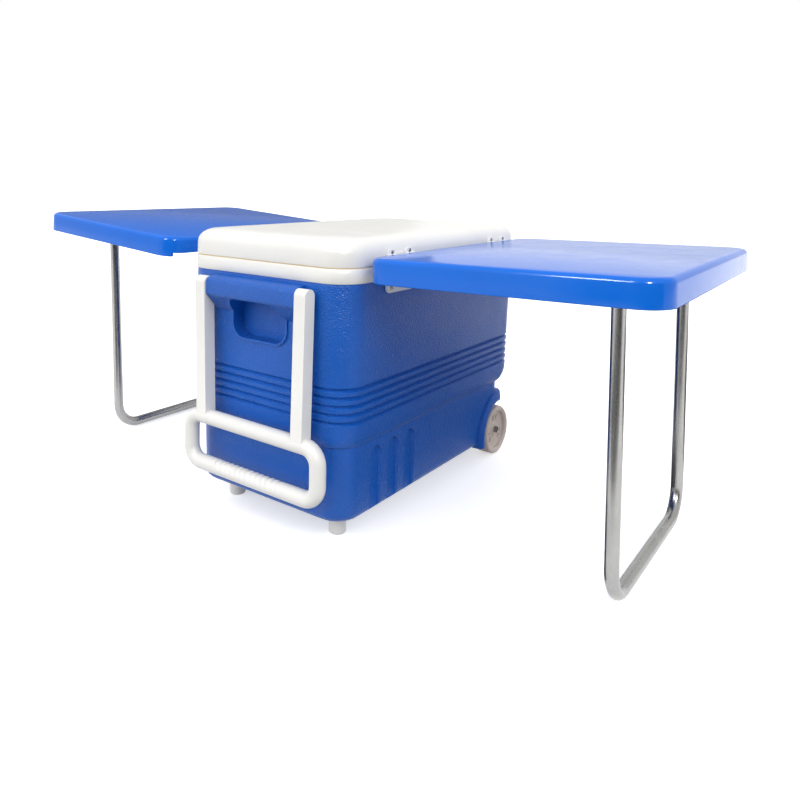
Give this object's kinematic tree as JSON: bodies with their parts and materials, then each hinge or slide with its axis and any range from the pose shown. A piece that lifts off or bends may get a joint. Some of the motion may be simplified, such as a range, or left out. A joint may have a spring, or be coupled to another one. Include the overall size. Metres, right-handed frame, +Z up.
{
  "type": "cooler table",
  "caption": "Wheeled insulated cooler with hinged lid, pull handle and folding table leaves, each standing on a plug-in tube leg.",
  "frame": {"origin": "middle of the model's bounding box in plan, on the floor", "axes": "+X across the cooler towards the leaf on the lid-hinge side, +Y from the handle end to the wheel end, +Z up"},
  "size_m": [1.3102, 0.6545, 0.4936],
  "materials": {
    "blue_plastic": "fine pebble texture, satin",
    "leaf_plastic": "gloss",
    "white_plastic": "satin",
    "foam": "matte",
    "seal": "matte",
    "leg_steel": "bright plated",
    "hinge_white": "satin",
    "dark_steel": "satin",
    "wheel_plastic": "matte"
  },
  "bodies": {
    "cooler": {"body_shell": "blue_plastic", "insulation": "foam", "liner": "white_plastic", "rim_seal": "seal", "front_feet": "white_plastic", "axle": "leg_steel", "axle_saddles": "wheel_plastic", "axle_caps": "leg_steel", "drain_spout": "white_plastic", "body_hinge_plates": "hinge_white", "body_hinge_screws": "dark_steel", "lid_hinge_pins": "leg_steel", "leaf_right_pins": "leg_steel", "leaf_left_brackets": "hinge_white", "bracket_screws": "dark_steel", "leaf_left_pins": "leg_steel", "handle_pins": "leg_steel"},
    "lid": {"lid_cover": "white_plastic", "lid_foam": "foam", "lid_liner": "white_plastic", "lid_hinge_plates": "hinge_white", "lid_hinge_screws": "dark_steel"},
    "right_leaf": {"leaf_right_top": "leaf_plastic", "leaf_right_straps": "hinge_white", "leaf_right_screws": "dark_steel"},
    "right_leg": {"leg_right": "leg_steel", "leg_right_stops": "dark_steel"},
    "left_leaf": {"leaf_left_top": "leaf_plastic", "leaf_left_straps": "hinge_white", "leaf_left_screws": "dark_steel"},
    "left_leg": {"leg_left": "leg_steel", "leg_left_stops": "dark_steel"},
    "handle": {"pull_handle": "white_plastic"},
    "right_wheel": {"wheel_right": "wheel_plastic"},
    "left_wheel": {"wheel_left": "wheel_plastic"},
    "plug": {"drain_plug": "white_plastic"}
  },
  "joints": [
    {"name": "lid_hinge", "type": "hinge", "parent": "cooler", "child": "lid", "pos_m": [0.21742, 0.00225, 0.453], "axis": [0, 1, 0], "range_deg": [0, 58]},
    {"name": "right_leaf_hinge", "type": "hinge", "parent": "cooler", "child": "right_leaf", "pos_m": [0.21742, 0.00225, 0.428], "axis": [0, 1, 0], "range_deg": [0, 35]},
    {"name": "left_leaf_hinge", "type": "hinge", "parent": "cooler", "child": "left_leaf", "pos_m": [-0.21818, 0.00225, 0.4305], "axis": [0, -1, 0], "range_deg": [0, 35]},
    {"name": "right_leg_pull", "type": "slide", "parent": "right_leaf", "child": "right_leg", "axis": [0.0087, 0, -1], "range_m": [0, 0.06]},
    {"name": "left_leg_pull", "type": "slide", "parent": "left_leaf", "child": "left_leg", "axis": [0.0384, 0, -0.9993], "range_m": [0, 0.06]},
    {"name": "handle_swing", "type": "hinge", "parent": "cooler", "child": "handle", "pos_m": [0.02982, -0.31425, 0.398], "axis": [-1, 0, 0], "range_deg": [0, 170]},
    {"name": "right_wheel_turn", "type": "hinge", "parent": "cooler", "child": "right_wheel", "pos_m": [0.19782, 0.25025, 0.05], "axis": [1, 0, 0], "continuous": true},
    {"name": "left_wheel_turn", "type": "hinge", "parent": "cooler", "child": "left_wheel", "pos_m": [-0.13818, 0.25025, 0.05], "axis": [1, 0, 0], "continuous": true},
    {"name": "drain_plug_pull", "type": "slide", "parent": "cooler", "child": "plug", "axis": [0, 1, 0], "range_m": [0, 0.016]}
  ]
}
